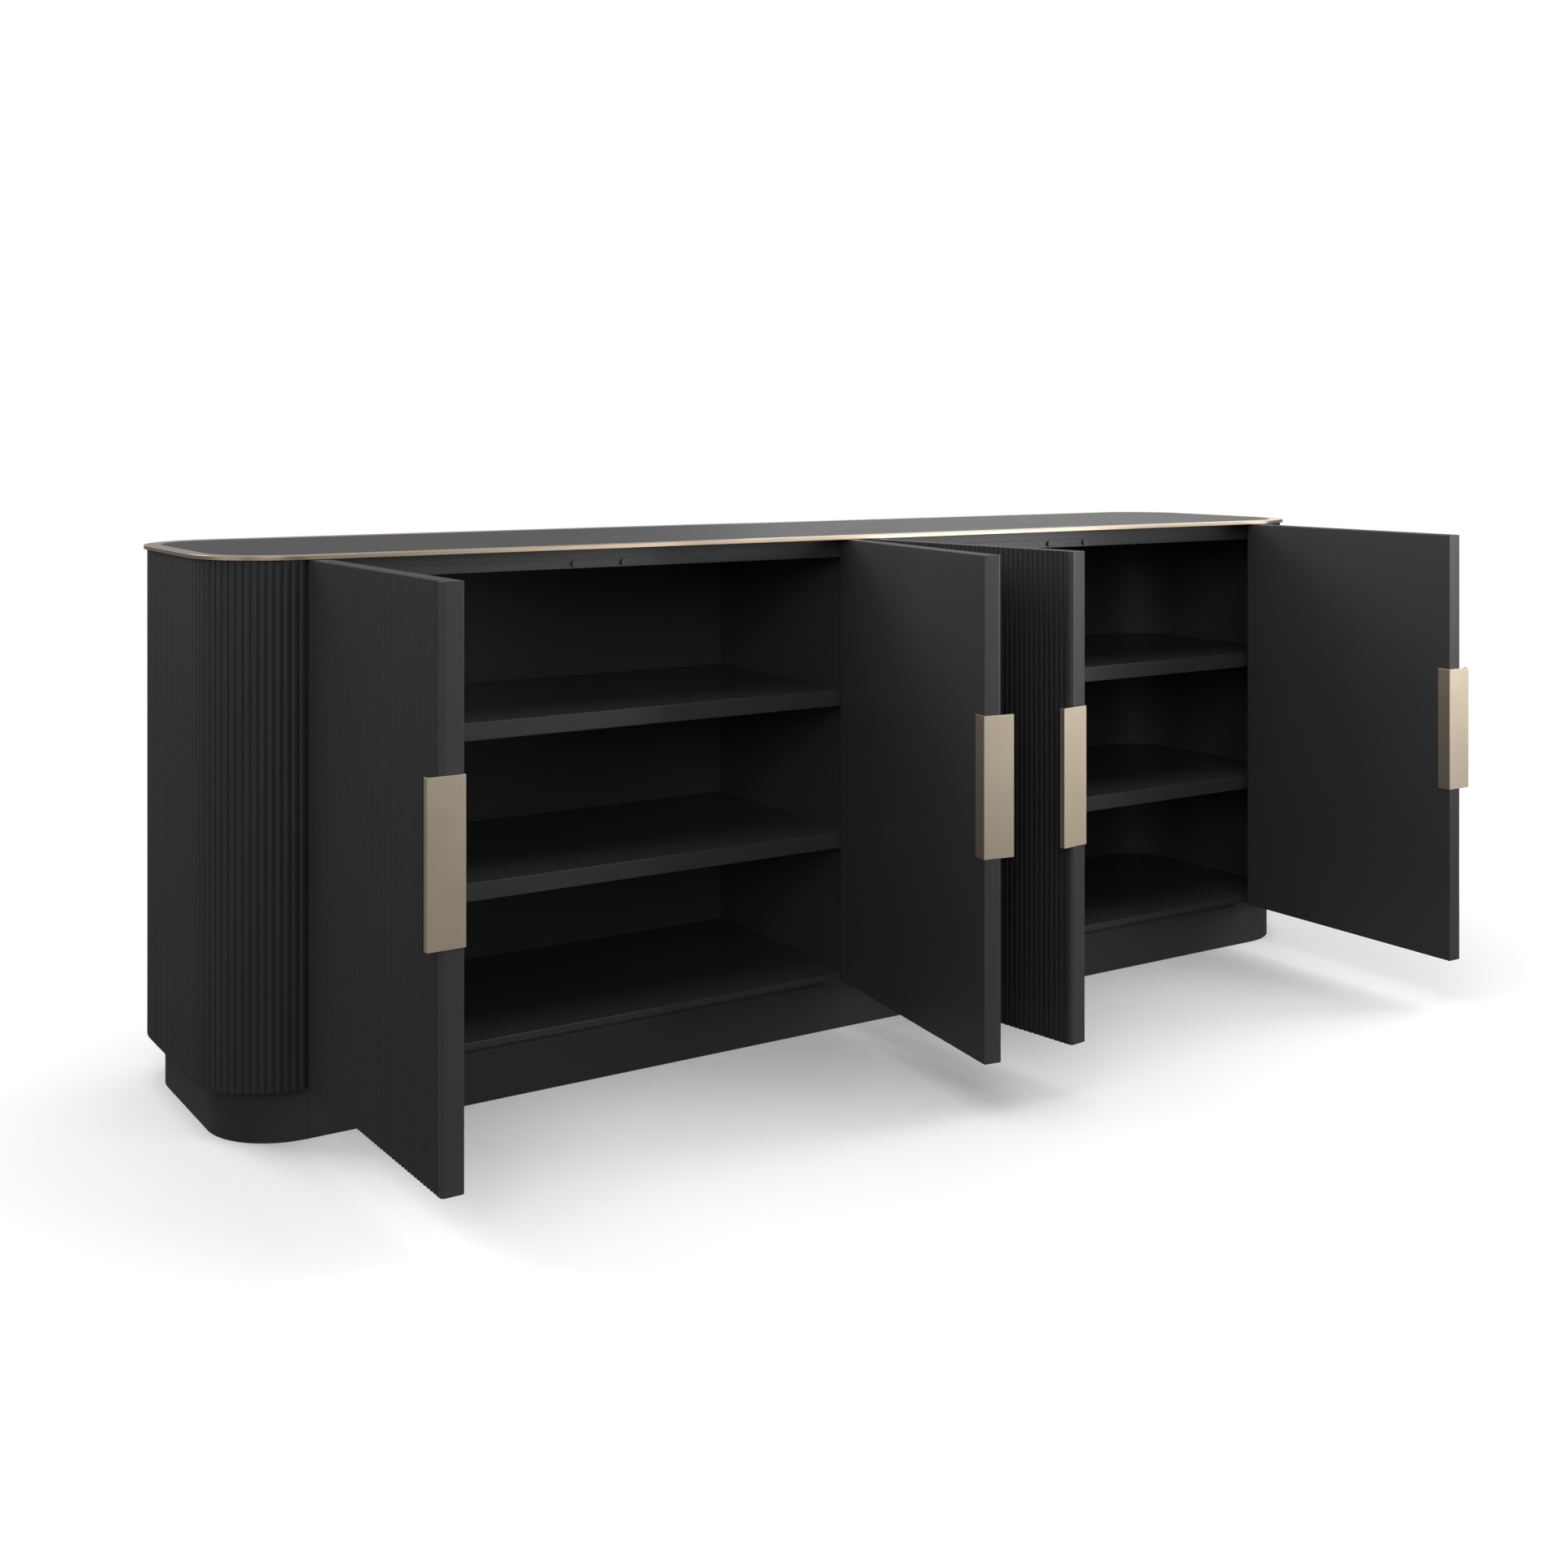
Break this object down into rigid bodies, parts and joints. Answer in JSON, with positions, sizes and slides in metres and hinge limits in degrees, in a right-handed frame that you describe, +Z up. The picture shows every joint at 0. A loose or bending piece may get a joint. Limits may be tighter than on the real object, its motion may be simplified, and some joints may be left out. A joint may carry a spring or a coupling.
{
  "type": "sideboard buffet",
  "caption": "Long low black sideboard with rounded reeded ends, hinged reeded doors, inner shelves, a plain plinth, a champagne metal top rim and edge pulls.",
  "frame": {"origin": "on the floor under the centre of the plinth", "axes": "+X to the right seen from the front, +Y to the back, +Z up; the doors are on the -Y side"},
  "size_m": [2.238, 0.9676, 0.85],
  "materials": {
    "carcass_lacquer": "satin black lacquer on board",
    "door_lacquer": "satin black lacquer on board",
    "reeded_lacquer": "matte black lacquer on reeded timber",
    "plinth_lacquer": "satin black lacquer",
    "raw_board": "unfinished board, out of sight",
    "inset_veneer": "charcoal stained veneer, satin",
    "champagne_metal": "satin champagne bronze plate",
    "hinge_steel": "blackened steel",
    "nylon": "moulded nylon"
  },
  "bodies": {
    "root": {"plinth_front": "plinth_lacquer", "plinth_back": "plinth_lacquer", "plinth_end_left": "plinth_lacquer", "plinth_end_right": "plinth_lacquer", "plinth_cross_rails": "raw_board", "leveller_blocks": "raw_board", "leveller_feet": "nylon", "hinge_plates_lower": "hinge_steel", "hinge_plate_screws": "hinge_steel", "hinge_pins_upper": "hinge_steel", "base_panel": "carcass_lacquer", "sub_top": "carcass_lacquer", "top_rail_left": "carcass_lacquer", "top_rail_right": "carcass_lacquer", "magnetic_catches": "hinge_steel", "centre_partition": "carcass_lacquer", "end_shell_left": "carcass_lacquer", "end_shell_right": "carcass_lacquer", "end_reeding_left": "reeded_lacquer", "end_reeding_right": "reeded_lacquer", "back_panel_left": "carcass_lacquer", "back_panel_right": "carcass_lacquer", "back_panel_screws": "hinge_steel", "shelf_pins": "hinge_steel", "shelf_lower_left": "carcass_lacquer", "shelf_lower_right": "carcass_lacquer", "shelf_upper_left": "carcass_lacquer", "shelf_upper_right": "carcass_lacquer", "top_rim": "champagne_metal", "top_inset": "inset_veneer"},
    "door_1": {"door_1_slab": "door_lacquer", "door_1_reeding": "reeded_lacquer", "door_1_pull": "champagne_metal", "door_1_hinge_leaves": "hinge_steel", "door_1_leaf_screws": "hinge_steel", "door_1_strike": "hinge_steel"},
    "door_2": {"door_2_slab": "door_lacquer", "door_2_reeding": "reeded_lacquer", "door_2_pull": "champagne_metal", "door_2_hinge_leaves": "hinge_steel", "door_2_leaf_screws": "hinge_steel", "door_2_strike": "hinge_steel"},
    "door_3": {"door_3_slab": "door_lacquer", "door_3_reeding": "reeded_lacquer", "door_3_pull": "champagne_metal", "door_3_hinge_leaves": "hinge_steel", "door_3_leaf_screws": "hinge_steel", "door_3_strike": "hinge_steel"},
    "door_4": {"door_4_slab": "door_lacquer", "door_4_reeding": "reeded_lacquer", "door_4_pull": "champagne_metal", "door_4_hinge_leaves": "hinge_steel", "door_4_leaf_screws": "hinge_steel", "door_4_strike": "hinge_steel"}
  },
  "joints": [
    {"name": "door_1_hinge", "type": "hinge", "parent": "root", "child": "door_1", "pos_m": [-0.976, -0.2385, 0.462], "axis": [0, 0, 1], "range_deg": [-20, 89.2]},
    {"name": "door_2_hinge", "type": "hinge", "parent": "root", "child": "door_2", "pos_m": [-0.016, -0.2285, 0.462], "axis": [0, 0, 1], "range_deg": [-81.8, 5]},
    {"name": "door_3_hinge", "type": "hinge", "parent": "root", "child": "door_3", "pos_m": [0.016, -0.2285, 0.462], "axis": [0, 0, 1], "range_deg": [-5, 81.7]},
    {"name": "door_4_hinge", "type": "hinge", "parent": "root", "child": "door_4", "pos_m": [0.976, -0.2385, 0.462], "axis": [0, 0, 1], "range_deg": [-89.8, 20]}
  ]
}
